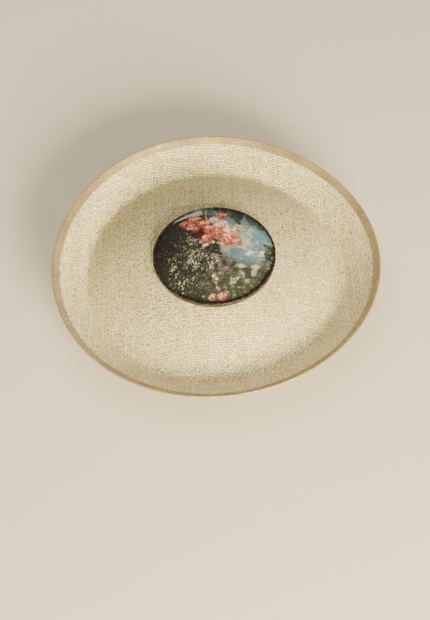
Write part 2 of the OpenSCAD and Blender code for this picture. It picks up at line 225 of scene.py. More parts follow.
# Woven banana fibre: pale straw threads, each its own shade, dull but for the flat gold thread
# laid in with them, which shows as bright metallic flecks. Fibres make fine lengthways bumps.
def sinamay_threads(name, dark, middle, light, gold):
    material, shader = new_material(name, {"IOR": 1.5, "Sheen Weight": 0.15})
    fleck_size = 1.9 * mm
    fibre_size = 0.5 * mm
    patch_size = 3.2 * mm
    place = own_place(material)
    tone = add_node(material, "Attribute", {"attribute_name": "tone"}, {}).outputs["Fac"]
    patch = blotches(material, place, patch_size, 1)
    shade = add_node(
        material, "Math", {"operation": "MULTIPLY_ADD"}, {0: tone, 1: 0.35, 2: patch}
    ).outputs["Value"]
    straw = ramp(material, shade, [(0.35, dark), (0.65, middle), (1.0, light)])
    speck = blotches(material, place, fleck_size, 2)
    is_gold = add_gold(material, shader, speck, (0.54, 0.58), straw, gold, 0.6, 0.26)
    fibres = blotches(material, place, fibre_size, 3)
    relief = add_node(
        material, "Math", {"operation": "MULTIPLY_ADD"}, {0: is_gold, 1: 0.8, 2: fibres}
    ).outputs["Value"]
    add_bump(material, shader, relief, 0.8, 0.4 * mm)
    return material


# Threads lie 3.2 mm apart, drawn coarser than the real 1 mm or so, so that the open weave shows.
# Each is three-sided, flat below, and goes over one cross thread and under the next.
def lay_threads(cloth, turned, dice, pitch, width, height, sway, reach):
    """Adds one set of parallel threads to a flat round cloth, along Y or turned along X."""
    wander, wander_length = 0.07 * pitch, 45 * mm
    count = int(2 * reach / pitch) + 1
    threads = bmesh.new()
    bmesh.ops.create_grid(threads, x_segments=4 * count - 1, y_segments=count - 1, size=1)
    middles = [(i - (count - 1) / 2 + dice.uniform(-0.07, 0.07)) * pitch for i in range(count)]
    widths = [width * dice.triangular(0.65, 1.45, 1.0) for _ in range(count)]
    shades = [dice.triangular(0.0, 1.0, 0.5) for _ in range(count)]
    tone = threads.faces.layers.float.new("tone")
    line_of, knot_of = {}, {}
    for vert in threads.verts:
        line_of[vert] = round((vert.co.x + 1) / 2 * (4 * count - 1))
        knot_of[vert] = round((vert.co.y + 1) / 2 * (count - 1))
    gaps = []
    for face in threads.faces:
        line = min(line_of[v] for v in face.verts)
        face[tone] = shades[line // 4]
        if line % 4 == 3:
            gaps.append(face)
    bmesh.ops.delete(threads, geom=gaps, context="FACES")
    beyond = set()
    for vert in threads.verts:
        thread, side = divmod(line_of[vert], 4)
        across = (-0.5, 0, 0.5, -0.5)[side] * widths[thread]
        high = 2 / 3 if side == 1 else -1 / 3
        over = 1 if (thread + knot_of[vert] + turned) % 2 else -1
        y = (knot_of[vert] - (count - 1) / 2) * pitch
        drift = noise.noise(Vector((thread * 3.7, y / wander_length, 40 * turned)))
        x = middles[thread] + drift * wander
        stop = math.sqrt(max(reach**2 - x**2, 0))
        if abs(y) >= stop:
            beyond.add(vert)
            y = math.copysign(stop, y)
        vert.co = (x + across, y, high * height + over * sway)
    outside = [f for f in threads.faces if all(v in beyond for v in f.verts)]
    bmesh.ops.delete(threads, geom=outside, context="FACES")
    bmesh.ops.remove_doubles(threads, verts=threads.verts, dist=0.01 * mm)
    if turned:
        bmesh.ops.rotate(threads, verts=threads.verts, matrix=Matrix.Rotation(-math.pi / 2, 3, "Z"))
    rims = [e for e in threads.edges if e.is_boundary]
    bmesh.ops.holes_fill(threads, edges=rims, sides=3)
    bmesh.ops.recalc_face_normals(threads, faces=threads.faces)
    add_part(cloth, threads)


def new_piece(name, shape, material, body, smooth):
    """Makes a piece from a finished bmesh, where it stands, and lets it ride on a body."""
    mesh = bpy.data.meshes.new(name)
    shape.to_mesh(mesh)
    shape.free()
    mesh.materials.append(material)
    if smooth:
        mesh.shade_smooth()
        mesh.set_sharp_from_angle(angle=math.radians(40))
    piece = bpy.data.objects.new(name, mesh)
    bpy.context.scene.collection.objects.link(piece)
    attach(piece, body)
    return piece


def woven_ply(name, place_on, seed, material, grain, lift, **weave):
    """One ply of warp and weft, blocked to the shape that place_on gives."""
    dice = random.Random(seed)
    cloth = bmesh.new()
    cloth.faces.layers.float.new("tone")
    lay_threads(cloth, 0, dice, **weave)
    lay_threads(cloth, 1, dice, **weave)
    for vert in cloth.verts:
        angle = math.atan2(vert.co.y, vert.co.x) + grain
        radius = min(math.hypot(vert.co.x, vert.co.y), weave["reach"])
        vert.co = place_on(radius, angle, lift + vert.co.z)
    return new_piece(name, cloth, material, "hat", False)


saucer_weave = {
    "pitch": 3.2 * mm, "width": 1.25 * mm, "height": 0.36 * mm, "sway": 0.2 * mm,
    "reach": edge.x - 1.3 * mm,
}
# The under ply is the same cloth as the upper ply. Its darker colours are painted shade for the shade it
# lies in under the upper ply.
under_ply = woven_ply(
    "under_ply_cloth", on_saucer, 23,
    sinamay_threads(
        "bias_sinamay_painted_shade", colour("635022"), colour("9a8448"), colour("c6b377"),
        colour("e0b860"),
    ),
    math.pi / 4, -0.5 * mm, **saucer_weave,
)
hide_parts("under_ply")
upper_ply = woven_ply(
    "upper_ply_cloth", on_saucer, 11,
    sinamay_threads(
        "stiffened_sinamay", colour("a99454"), colour("e6d99e"), colour("faf3cc"), colour("f8e08a")
    ),
    0, 0.38 * mm, **saucer_weave,
)
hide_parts("upper_ply")


# Edge: a round of millinery wire, its ends crimped in a brass tube, lies in the fold of a bias
# strip of denser gold-brown sinamay, which is drawn over the brim's edge and slip-stitched down.
def turned_shape(outline, steps, closed, angle=2 * math.pi, start=0.0):
    """A shape turned round the hat's axis from points (radius, height), with a UV map in mm."""
    shape = bmesh.new()
    across = shape.verts.layers.float.new("across")
    length = 0.0
    line = []
    for i, (radius, height) in enumerate(outline):
        if i:
            length += math.dist(outline[i], outline[i - 1])
        line.append(shape.verts.new((radius * math.cos(start), radius * math.sin(start), height)))
        line[-1][across] = length
    pairs = list(zip(line, line[1:])) + ([(line[-1], line[0])] if closed else [])
    edges = [shape.edges.new(pair) for pair in pairs]
    whole = angle > 2 * math.pi - 0.001
    bmesh.ops.spin(
        shape, geom=line + edges, cent=(0, 0, 0), axis=(0, 0, 1), angle=angle, steps=steps,
        use_merge=whole,
    )
    bmesh.ops.remove_doubles(shape, verts=shape.verts, dist=0.001 * mm)
    bmesh.ops.recalc_face_normals(shape, faces=shape.faces)
    widest = max(radius for radius, _ in outline)
    uv = shape.loops.layers.uv.new("cloth")
    for face in shape.faces:
        angles = [math.atan2(v.co.y, v.co.x) for v in face.verts]
        lengths = [v[across] for v in face.verts]
        for loop, turn, along in zip(face.loops, angles, lengths):
            if max(angles) - turn > math.pi:
                turn += 2 * math.pi
            if closed and max(lengths) - along > length / 2:
                along += length
            loop[uv].uv = (turn * widest / mm, along / mm)
    return shape


def pull_edge(shape):
    """Pulls a turned shape out of round as the saucer's edge is."""
    for vert in shape.verts:
        radius = math.hypot(vert.co.x, vert.co.y)
        pull = edge_pull(radius, math.atan2(vert.co.y, vert.co.x))
        vert.co = (vert.co.x * pull, vert.co.y * pull, vert.co.z)


# Cotton-covered steel wire: matt, with the cover's fine turns round it.
def covered_wire():
    material, shader = new_material(
        "cotton_covered_wire", {"Base Color": colour("8d8268"), "Roughness": 0.85, "IOR": 1.5}
    )
    cover_turn = 0.5
    place = add_node(material, "UVMap", {"uv_map": "cloth"}, {}).outputs["UV"]
    turns = add_node(
        material, "TexWave", {"bands_direction": "DIAGONAL"},
        {"Vector": place, "Scale": math.pi / 10 / cover_turn, "Distortion": 0.6},
    ).outputs["Fac"]
    add_bump(material, shader, turns, 0.6, 0.08 * mm)
    return material


# Crimped brass tube: drawn, then dulled by the fingers.
def satin_brass():
    material, shader = new_material("satin_brass", {"Metallic": 1.0})
    place = own_place(material)
    smear = blotches(material, place, 2.5 * mm, 4)
    tint = ramp(material, smear, [(0.3, colour("b98f45")), (0.7, colour("d8b56a"))])
    rough = add_node(material, "MapRange", {}, {"Value": smear, "To Min": 0.22, "To Max": 0.45})
    feed(shader, "Base Color", tint)
    feed(shader, "Roughness", rough.outputs["Result"])
    return material


# Denser sinamay strip, cut on the bias, so both its thread sets run slantwise; gold-brown, with
# the same gold thread. Drawn at 1.9 mm a thread so that the slant shows.
def bias_strip(name, gap, thread, light, gold):
    material, shader = new_material(name, {"IOR": 1.5, "Sheen Weight": 0.2})
    strip_pitch = 1.9
    place = add_node(material, "UVMap", {"uv_map": "cloth"}, {}).outputs["UV"]
    sets = []
    for slant in (40, -50):
        laid = add_node(
            material, "Mapping", {}, {"Vector": place, "Rotation": (0, 0, math.radians(slant))}
        ).outputs["Vector"]
        wave = add_node(
            material, "TexWave", {},
            {"Vector": laid, "Scale": math.pi / 10 / strip_pitch, "Distortion": 0.8,
             "Detail Scale": 0.6},
        )
        sets.append(wave.outputs["Fac"])
    weave = add_node(
        material, "Math", {"operation": "MAXIMUM"}, {0: sets[0], 1: sets[1]}
    ).outputs["Value"]
    threads = ramp(material, weave, [(0.25, gap), (0.7, thread), (1.0, light)])
    solid = own_place(material)
    shade = blotches(material, solid, 30 * mm, 3)
    worn = add_node(
        material, "Mix", {"data_type": "RGBA", "blend_type": "MULTIPLY"},
        {"Factor": 0.7, "A": threads,
         "B": ramp(material, shade, [(0.3, colour("b9a48a")), (0.7, colour("ffffff"))])},
    ).outputs[2]
    speck = blotches(material, solid, 1.5 * mm, 2)
    add_gold(material, shader, speck, (0.55, 0.61), worn, gold, 0.6, 0.3)
    add_bump(material, shader, weave, 0.8, 0.25 * mm)
    return material


def circle_outline(middle, radius, count):
    """Points round a circle in the profile plane."""
    turns = [2 * math.pi * i / count for i in range(count)]
    return [(middle.x + radius * math.cos(t), middle.y + radius * math.sin(t)) for t in turns]


wire_cover = covered_wire()
brim_wire = turned_shape(circle_outline(edge, wire_radius, 12), 240, True)
pull_edge(brim_wire)
brim_wire = new_piece("brim_wire_round", brim_wire, wire_cover, "hat", True)
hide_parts("brim_wire")


def crimped_tube(middle, length):
    """A short tube round a ring wire, with its middle on the +Y side."""
    bore, outside = wire_radius + 0.05 * mm, wire_radius + 0.35 * mm
    steps = 12
    sweep = length / middle.x
    tube = bmesh.new()
    for radius in (bore, outside):
        outline = circle_outline(middle, radius, 16)
        add_part(tube, turned_shape(outline, steps, True, sweep, (math.pi - sweep) / 2))
    for side in (-1, 1):
        ends = [
            e for e in tube.edges
            if e.is_boundary and side * (e.verts[0].co.x + e.verts[1].co.x) > 0
        ]
        bmesh.ops.bridge_loops(tube, edges=ends)
    bmesh.ops.recalc_face_normals(tube, faces=tube.faces)
    return tube


brass = satin_brass()
joiner_length = 12 * mm
brim_joiner = crimped_tube(edge, joiner_length)
pull_edge(brim_joiner)
brim_joiner = new_piece("brim_joiner_tube", brim_joiner, brass, "hat", True)
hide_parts("brim_wire_joiner")

strip_leg = 10 * mm
strip_thickness = 0.5 * mm
strip_inside = 1.0 * mm
strip_ripple = 0.12 * mm
strip_ragged = 0.5 * mm


def strip_face(distance, way):
    """The folded strip's face that lies a distance from the wire's middle, leg to leg."""
    turns = [brim_slope + way * math.radians(-90 + 15 * i) for i in range(13)]
    fold = [edge + distance * Vector((math.cos(t), math.sin(t))) for t in turns]
    legs = [strip_leg * part * along_brim for part in (1, 0.66, 0.33)]
    return [fold[0] - leg for leg in legs] + fold + [fold[-1] - leg for leg in reversed(legs)]


strip_outline = strip_face(strip_inside + strip_thickness, 1) + strip_face(strip_inside, -1)
edge_binding = turned_shape([tuple(point) for point in strip_outline], 420, True)
for vert in edge_binding.verts:
    turn = math.atan2(vert.co.y, vert.co.x)
    offset = Vector((math.hypot(vert.co.x, vert.co.y), vert.co.z)) - edge
    inward, side = -offset.dot(along_brim), offset.dot(across_brim)
    share = max(inward, 0) / strip_leg
    spot = Vector((math.cos(turn), math.sin(turn), 2 if side > 0 else -2))
    shift = share * strip_ragged * noise.noise(9 * spot) * along_brim
    shift += share * strip_ripple * (1 + noise.noise(14 * spot)) * math.copysign(1, side) * across_brim
    reach = math.hypot(vert.co.x, vert.co.y) + shift.x
    vert.co = (reach * math.cos(turn), reach * math.sin(turn), vert.co.z + shift.y)
pull_edge(edge_binding)
edge_binding = new_piece(
    "edge_binding_strip", edge_binding,
    bias_strip(
        "bias_cut_sinamay_strip", colour("40351a"), colour("85703f"), colour("bfa974"),
        colour("e2cc80"),
    ),
    "hat", True,
)
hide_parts("edge_binding")


# Sewing thread: two yarns twisted, matt, in the cloth's own straw colour.
def sewing_thread():
    material, shader = new_material("twisted_cotton_thread", {"Roughness": 0.8, "Sheen Weight": 0.3})
    place = own_place(material)
    twist = add_node(
        material, "TexWave", {"bands_direction": "DIAGONAL"},
        {"Vector": place, "Scale": math.pi / 10 / (0.6 * mm), "Distortion": 1.5},
    ).outputs["Fac"]
    tint = ramp(material, twist, [(0.2, colour("8f7244")), (0.8, colour("cdb27c"))])
    add_bump(material, shader, twist, 0.6, 0.1 * mm)
    feed(shader, "Base Color", tint)
    return material


def add_stitch(shape, place, direction, length, thickness):
    """One stitch: a short plump run of thread, its ends drawn down into the cloth."""
    turn = direction.to_track_quat("X", "Z").to_matrix().to_4x4()
    size = Matrix.Diagonal((length / 2, thickness / 2, thickness / 2, 1))
    bmesh.ops.create_icosphere(
        shape, subdivisions=2, radius=1, matrix=Matrix.Translation(place) @ turn @ size
    )


thread = sewing_thread()
stitch_count = 72
stitch_length = 3 * mm
stitch_thickness = 0.55 * mm
stitch_dice = random.Random(5)
brim_stitches = bmesh.new()
stitch_radius = edge.x - (strip_leg - stitch_length) * along_brim.x
for i in range(stitch_count):
    turn = (i + 0.5 + stitch_dice.uniform(-0.15, 0.15)) * 2 * math.pi / stitch_count
    lift = strip_inside + strip_thickness + 0.15 * mm
    place = on_saucer(stitch_radius, turn, lift)
    outward = on_saucer(stitch_radius + mm, turn + stitch_dice.uniform(-0.002, 0.002), lift) - place
    add_stitch(brim_stitches, place, outward, stitch_length, stitch_thickness)
brim_stitches = new_piece("binding_slip_stitches", brim_stitches, thread, "hat", True)
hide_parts("binding_stitches")


# Medallion: a moulded resin dome carries a printed garden picture under a clear, polished dome;
# a thin black lacquered rim laps over their edges. Three screws come up through the crown.
dome_rise = 18 * mm
glaze_thickness = 1.8 * mm
layer_gap = 0.1 * mm
picture_thickness = 0.3 * mm
medallion_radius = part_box("medallion_rim")[1][0]
glaze_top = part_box("medallion_glaze")[1]
layers_radius = glaze_top[0]
dome_radius = (layers_radius**2 + dome_rise**2) / (2 * dome_rise)
dome_middle = glaze_top[2] - dome_radius


def dome_line(depth, reach, count):
    """Points from the axis out along the dome's layer that lies a depth under its face."""
    radius = dome_radius - depth
    last = math.asin(reach / radius)
    turns = [last * i / count for i in range(count + 1)]
    return [(radius * math.sin(t), dome_middle + radius * math.cos(t)) for t in turns]


def paint_garden(spots):
    """Colours of the picture at spots (x, y) on a disc of radius 1: a garden by a lake, with
    dark trees on the left, a cloudy sky, and a garland of roses and cream ribbon."""
    x, y = spots[:, 0], spots[:, 1]
    dice = random.Random(31)

    def field(size, level, octaves):
        return np.array([
            noise.fractal(Vector((a / size, b / size, level)), 0.8, 2.0, octaves) for a, b in spots
        ])

    broad, fine, grain = field(0.45, 3, 4), field(0.12, 7, 4), field(0.05, 11, 3)
    paint = np.tile(np.array(colour("1f1b17")), (len(spots), 1))

    def lay(cover, shade):
        paint[:] += np.clip(cover, 0, 1)[:, None] * (np.array(colour(shade)) - paint)

    def dab(at, size, lean, shade, strength=1.0, ragged=0.0):
        dx, dy = x - at[0], y - at[1]
        u = (dx * math.cos(lean) + dy * math.sin(lean)) / size[0]
        v = (dy * math.cos(lean) - dx * math.sin(lean)) / size[1]
        lay(strength * 1.6 * (1 - u * u - v * v + ragged * fine), shade)

    lay(0.7 * (0.3 + broad), "2c2b24")
    sky = 3.2 * (x + 0.42 * y - 0.12 + 0.22 * broad)
    lay(sky, "586f72")
    lay(np.clip(sky, 0, 1) * (0.2 + 1.5 * broad + 0.9 * fine), "a09f8b")
    lay(np.clip(sky, 0, 1) * (0.1 - 1.2 * broad + 0.7 * fine), "44565a")
    dab((0.56, 0.3), (0.3, 0.26), 0.4, "9d9c82", 0.5, 2.0)
    dab((0.8, 0.32), (0.16, 0.26), -0.5, "4d7384", 0.55, 1.8)
    dab((0.4, -0.13), (0.26, 0.12), 0.0, "43626b", 0.6, 1.9)
    dab((0.7, -0.08), (0.18, 0.06), 0.1, "b9a8a4", 0.4, 3.0)
    dab((0.38, 0.84), (0.5, 0.17), -0.5, "2a322a", 0.95, 1.6)
    dab((0.74, 0.6), (0.26, 0.1), -0.8, "3a443e", 0.8, 1.6)
    land = 5 * (-0.24 - y + 0.1 * broad + 0.12 * x)
    lay(land * np.clip(2.5 * (x + 0.2 + 0.5 * broad + 0.3 * fine), 0, 1), "2c2b20")
    dab((0.1, -0.45), (0.3, 0.36), 0.1, "4b4643", 0.4, 3.5)
    dab((0.62, -0.34), (0.34, 0.035), 0.05, "8c9274", 0.5, 2.5)
    dab((0.46, -0.55), (0.26, 0.08), 0.45, "83835f", 0.4, 4.0)
    dab((0.6, -0.47), (0.2, 0.05), 0.2, "6d8076", 0.4, 4.0)
    for _ in range(120):
        turn = dice.uniform(-1.25, 0.15)
        reach = dice.uniform(0.84, 1.0)
        leaf = dice.choice(("1d211a", "2f3423", "4b4c33", "262b20"))
        dab((reach * math.cos(turn), reach * math.sin(turn)), (0.06, 0.03), dice.uniform(0, 3),
            leaf, 0.7, 1.0)
    for _ in range(160):
        at = (dice.uniform(-0.3, 0.75), dice.gauss(-0.68, 0.13))
        leaf = dice.choice(("1c1e16", "2b2d1f", "33332a", "4b4b3a", "77786a", "1f221b"))
        dab(at, (dice.uniform(0.02, 0.05), 0.016), dice.uniform(-0.4, 0.8), leaf, 0.5, 2.0)
    for _ in range(420):
        at = (dice.gauss(-0.5, 0.2), dice.gauss(0.0, 0.36))
        leaf = dice.choice(("171a14", "20271d", "2b3526", "3c4737", "56604c", "211d19"))
        dab(at, (dice.uniform(0.014, 0.03), 0.013), dice.uniform(0, 3), leaf, 0.6, 1.0)
    for middle, spread, count in (
        ((-0.36, 0.2), (0.09, 0.1), 90), ((-0.33, -0.22), (0.08, 0.14), 110),
        ((-0.68, -0.32), (0.06, 0.16), 40), ((-0.2, -0.1), (0.16, 0.05), 50),
        ((-0.62, -0.62), (0.14, 0.08), 40), ((0.05, -0.2), (0.12, 0.05), 40),
    ):
        for _ in range(count):
            at = (dice.gauss(middle[0], spread[0]), dice.gauss(middle[1], spread[1]))
            bloom = dice.choice(("b7b598", "8f9479", "cfc8ab", "8a7371", "6f7f68"))
            dab(at, (0.012, 0.012), 0, bloom, dice.uniform(0.2, 0.8), 1.0)
    for i in range(60):
        step = i / 59
        dab((-0.07 + 0.12 * step + dice.gauss(0, 0.022), -0.27 - 0.5 * step), (0.01, 0.022), 0.2,
            dice.choice(("c3bd9f", "8f8a70", "5b5a48")), 0.5, 1.5)

    def rose(at, size, pale, middle, deep):
        dab((at[0] + 0.2 * size, at[1] - 0.25 * size), (1.1 * size, size), 0.4, deep, 0.8, 0.8)
        dab(at, (0.95 * size, 0.8 * size), dice.uniform(0, 3), middle, 0.95, 0.9)
        for ring in range(5):
            reach = size * (0.84 - 0.17 * ring)
            for petal in range(7 - ring):
                turn = petal * 2 * math.pi / (7 - ring) + 0.8 * ring + dice.uniform(-0.35, 0.35)
                out = (math.cos(turn), 0.82 * math.sin(turn))
                lit = 0.5 + 0.5 * math.cos(turn - 2.0)
                shade = dice.choice((pale, middle)) if dice.random() < lit else deep
                dab((at[0] + reach * out[0], at[1] + reach * out[1]), (0.3 * size, 0.1 * size),
                    turn + 1.57, shade, dice.uniform(0.45, 0.85), 0.5)
        dab(at, (0.16 * size, 0.12 * size), 0, deep, 0.8)

    dab((-0.2, 0.36), (0.26, 0.13), -0.3, "2d1613", 0.95, 1.4)
    for step in range(60):
        part = step / 59
        for fold in (-0.5, 0.5):
            sway = 0.09 * math.sin(8 * part + fold)
            dab((-0.2 + 0.7 * part, 0.08 + sway * (1 - part) + 0.06 * part + 0.06 * fold),
                (0.05, dice.uniform(0.01, 0.03)), 0.5 * math.cos(8 * part),
                dice.choice(("e0d2b4", "b99f7c", "86634c", "5a3d2e")), 0.6, 1.5)
    for step in range(24):
        part = step / 23
        dab((-0.1 - 0.02 * math.sin(5 * part), 0.98 - 0.5 * part), (0.012, 0.03), 0.1,
            "b8a987", 0.6)
    for at, size in (((0.12, 0.52), 0.17), ((0.28, 0.38), 0.15), ((0.0, 0.66), 0.11)):
        rose(at, size, "efe3c8", "c9b596", "8a5c48")
    for at, size in (
        ((-0.46, 0.6), 0.12), ((-0.3, 0.7), 0.14), ((-0.15, 0.56), 0.13), ((-0.32, 0.5), 0.12),
        ((0.15, 0.78), 0.1), ((0.08, 0.32), 0.13), ((-0.1, 0.22), 0.11), ((0.25, 0.2), 0.14),
        ((-0.08, 0.42), 0.12), ((0.4, 0.15), 0.08), ((0.12, 0.48), 0.07),
    ):
        rose(at, size, "ecc0a6", "b4624e", "6b2a20")
    rose((0.1, -0.88), 0.09, "d49c86", "9a4f40", "452019")
    rose((-0.06, -0.88), 0.06, "cfa987", "93684f", "4a2f26")
    paint[:, :3] *= 1 + 0.35 * grain[:, None]
    shadow = np.clip((np.hypot(x, y) - 0.9) / 0.1, 0, 1)
    lay(0.75 * shadow, "14110e")
    return np.clip(paint, 0, 1)


# Printed film: colours printed on paper under resin, with the faint tooth of the print.
def printed_film():
    material, shader = new_material("printed_film", {"Roughness": 0.6, "Specular IOR Level": 0.05})
    place = own_place(material)
    print_colour = add_node(material, "Attribute", {"attribute_name": "paint"}, {}).outputs["Color"]
    tooth = blotches(material, place, 1.2 * mm, 4)
    mottle = ramp(material, tooth, [(0.3, (0.55, 0.55, 0.55, 1)), (0.7, (1, 1, 1, 1))])
    mixed = add_node(
        material, "Mix", {"data_type": "RGBA", "blend_type": "MULTIPLY"},
        {"Factor": 0.6, "A": print_colour, "B": mottle},
    ).outputs[2]
    add_bump(material, shader, tooth, 0.15, 0.1 * mm)
    feed(shader, "Base Color", mixed)
    return material


picture_cells = 190
picture_depth = glaze_thickness + layer_gap
picture_radius = dome_radius - picture_depth
picture = bmesh.new()
bmesh.ops.create_grid(picture, x_segments=picture_cells, y_segments=picture_cells, size=1)
for vert in picture.verts:
    a, b = vert.co.x, vert.co.y
    spot = Vector((a * math.sqrt(1 - b * b / 2), b * math.sqrt(1 - a * a / 2))) * layers_radius
    vert.co = (spot.x, spot.y, dome_middle + math.sqrt(picture_radius**2 - spot.length_squared))
picture = new_piece("medallion_picture_film", picture, printed_film(), "hat", True)
points = np.empty(3 * len(picture.data.vertices), np.float32)
picture.data.vertices.foreach_get("co", points)
garden = paint_garden(points.reshape(-1, 3)[:, :2] / layers_radius)
paint = picture.data.color_attributes.new("paint", "FLOAT_COLOR", "POINT")
paint.data.foreach_set("color", garden.astype(np.float32).ravel())
film = picture.modifiers.new("film thickness", "SOLIDIFY")
film.thickness = picture_thickness
film.offset = -1
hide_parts("medallion_picture")


# Clear cast resin, polished above: soft bright reflections, and the picture shows undimmed.
# Its underside is bonded to the picture, so it neither bends light nor mirrors.
def clear_resin(name, ior, roughness):
    material, _ = new_material(
        name,
        {"Base Color": colour("fdfcf8"), "Transmission Weight": 1.0, "IOR": ior,
         "Roughness": roughness},
    )
    return material


glaze_outline = dome_line(0, layers_radius, 28) + dome_line(glaze_thickness, layers_radius, 28)[::-1]
glaze = turned_shape(glaze_outline, 144, False)
underside = dome_radius - glaze_thickness / 2
for face in glaze.faces:
    middle = face.calc_center_median() - Vector((0, 0, dome_middle))
    face.material_index = 1 if middle.length < underside else 0
glaze = new_piece(
    "medallion_clear_dome", glaze, clear_resin("polished_clear_resin", 1.47, 0.05), "hat", True
)
glaze.data.materials.append(clear_resin("bonded_clear_resin", 1.001, 0.0))
glaze.visible_shadow = False
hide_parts("medallion_glaze")


# Black lacquer over a turned ring: deep and glossy, a little scuffed along its lip.
def black_lacquer():
    material, shader = new_material(
        "black_lacquer", {"Coat Weight": 0.6, "Coat Roughness": 0.06, "IOR": 1.5}
    )
    place = own_place(material)
    scuff = blotches(material, place, 4 * mm, 5)
    tint = ramp(material, scuff, [(0.4, colour("15110e")), (0.75, colour("3a2f27"))])
    rough = add_node(material, "MapRange", {}, {"Value": scuff, "To Min": 0.16, "To Max": 0.4})
    feed(shader, "Base Color", tint)
    feed(shader, "Roughness", rough.outputs["Result"])
    return material


rim_wall = 1.6 * mm
rim_lip = 1.2 * mm
rim_lip_thickness = 0.8 * mm
rim_gap = 0.15 * mm
rim_inside = medallion_radius - rim_wall
rim_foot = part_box("medallion_rim")[0][2]
lip_reach = rim_inside - rim_lip


def over_dome(height, radius):
    """A point that lies a height over the clear dome."""
    return (radius, dome_middle + math.sqrt((dome_radius + height) ** 2 - radius**2))


rim_outline = [
    (medallion_radius, rim_foot),
    (medallion_radius, over_dome(rim_gap + rim_lip_thickness, rim_inside)[1]),
    over_dome(rim_gap + rim_lip_thickness, rim_inside),
    over_dome(rim_gap + rim_lip_thickness, lip_reach),
    over_dome(rim_gap, lip_reach),
    over_dome(rim_gap, rim_inside),
    (rim_inside, rim_foot),
]
rim = turned_shape(rim_outline, 240, True)
rim = new_piece("medallion_lacquered_rim", rim, black_lacquer(), "hat", True)
rim_edges = rim.modifiers.new("rounded edges", "BEVEL")
rim_edges.width = 0.35 * mm
rim_edges.segments = 3
rim_edges.limit_method = "ANGLE"
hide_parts("medallion_rim")


def finish_node(name, material):
    """Gives a CAD node its material."""
    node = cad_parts[name]
    node.data.materials.clear()
    node.data.materials.append(material)


# Moulded resin base: matt brown-black, with the mould's fine stipple.
def moulded_resin():
    material, shader = new_material("moulded_resin", {"Roughness": 0.55, "IOR": 1.5})
    place = own_place(material)
    stipple = blotches(material, place, 0.9 * mm, 3)
    tint = ramp(material, stipple, [(0.3, colour("2a2019")), (0.8, colour("453729"))])
    add_bump(material, shader, stipple, 0.4, 0.1 * mm)
    feed(shader, "Base Color", tint)
    return material


# Zinc-plated steel washers: bright, with faint turning marks.
def plated_steel():
    material, shader = new_material("plated_steel", {"Base Color": colour("b9b8b4"), "Metallic": 1.0})
    place = own_place(material)
    marks = blotches(material, place, 0.7 * mm, 4)
    rough = add_node(material, "MapRange", {}, {"Value": marks, "To Min": 0.18, "To Max": 0.42})
    add_bump(material, shader, marks, 0.1, 0.05 * mm)
    feed(shader, "Roughness", rough.outputs["Result"])
    return material


# Buckram: an open cotton net stiffened with size, off-white, with the net's square grid.
def buckram_net():
    material, shader = new_material("stiffened_buckram", {"Roughness": 0.9, "IOR": 1.5})
    net_pitch = 1.6 * mm
    place = own_place(material)
    grids = [
        add_node(
            material, "TexWave", {"bands_direction": way},
            {"Vector": place, "Scale": math.pi / 10 / net_pitch, "Distortion": 0.4},
        ).outputs["Fac"]
        for way in ("X", "Y")
    ]
    net = add_node(material, "Math", {"operation": "MAXIMUM"}, {0: grids[0], 1: grids[1]})
    tint = ramp(
        material, net.outputs["Value"], [(0.3, colour("9c8c68")), (0.8, colour("e3d8b9"))]
    )
    add_bump(material, shader, net.outputs["Value"], 0.7, 0.2 * mm)
    feed(shader, "Base Color", tint)
    return material


steel = plated_steel()
finish_node("medallion_base", moulded_resin())
finish_node("medallion_screws", brass)
finish_node("screw_washers", steel)
finish_node("crown_stiffener", buckram_net())


# Head cap: two plies of closer sinamay blocked to the head's shape and tacked up to the crown.
# Wired along its lower edge as the brim is, and bound with the same strip, flat where it rests.
cap_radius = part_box("cap_outer_ply")[1][0]
cap_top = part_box("cap_outer_ply")[1][2]
cap_fullness = 2.4
cap_leg = 9 * mm


def cap_curve(depth):
    """Points down the cap's layer that lies a depth in from its face, with their lengths."""
    turns = np.linspace(math.pi / 2, 0, 400)
    radii = (cap_radius - depth) * np.abs(np.cos(turns)) ** (2 / cap_fullness)
    radii[0] = 0
    heights = (cap_top - depth) * np.abs(np.sin(turns)) ** (2 / cap_fullness)
    lengths = np.concatenate(([0], np.cumsum(np.hypot(np.diff(radii), np.diff(heights)))))
    return radii, heights, lengths


cap_radii, cap_heights, cap_lengths = cap_curve(0)
cap_reach = float(np.interp(-1.8 * mm, -cap_heights, cap_lengths))


def on_cap(length, angle, lift):
    """The point a length down from the cap's top, lift above the outer ply's face."""
    radius = float(np.interp(length, cap_lengths, cap_radii))
    height = float(np.interp(length, cap_lengths, cap_heights))
    step = 0.5 * mm
    run = float(np.interp(length + step, cap_lengths, cap_radii)) - radius
    fall = height - float(np.interp(length + step, cap_lengths, cap_heights))
    steep = math.atan2(fall, run) if fall or run else math.pi / 2
    reach = radius + lift * math.sin(steep)
    return Vector((reach * math.cos(angle), reach * math.sin(angle), height + lift * math.cos(steep)))


cap_weave = {
    "pitch": 2.7 * mm, "width": 1.75 * mm, "height": 0.3 * mm, "sway": 0.12 * mm,
    "reach": cap_reach,
}
# The lining is the same cloth as the outer ply. Its darker colours are painted shade for the shade it lies
# in inside the cap.
cap_lining = woven_ply(
    "cap_lining_cloth", on_cap, 41,
    sinamay_threads(
        "lining_sinamay_painted_shade", colour("77623c"), colour("9c8557"), colour("b8a274"),
        colour("b8924e"),
    ),
    math.pi / 4, -1.0 * mm, **cap_weave,
)
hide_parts("cap_lining_ply")
cap_outer = woven_ply(
    "cap_outer_cloth", on_cap, 37,
    sinamay_threads(
        "blocked_close_sinamay", colour("8d7446"), colour("b39b69"), colour("cdb98a"),
        colour("caa258"),
    ),
    0, -0.3 * mm, **cap_weave,
)
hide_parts("cap_outer_ply")

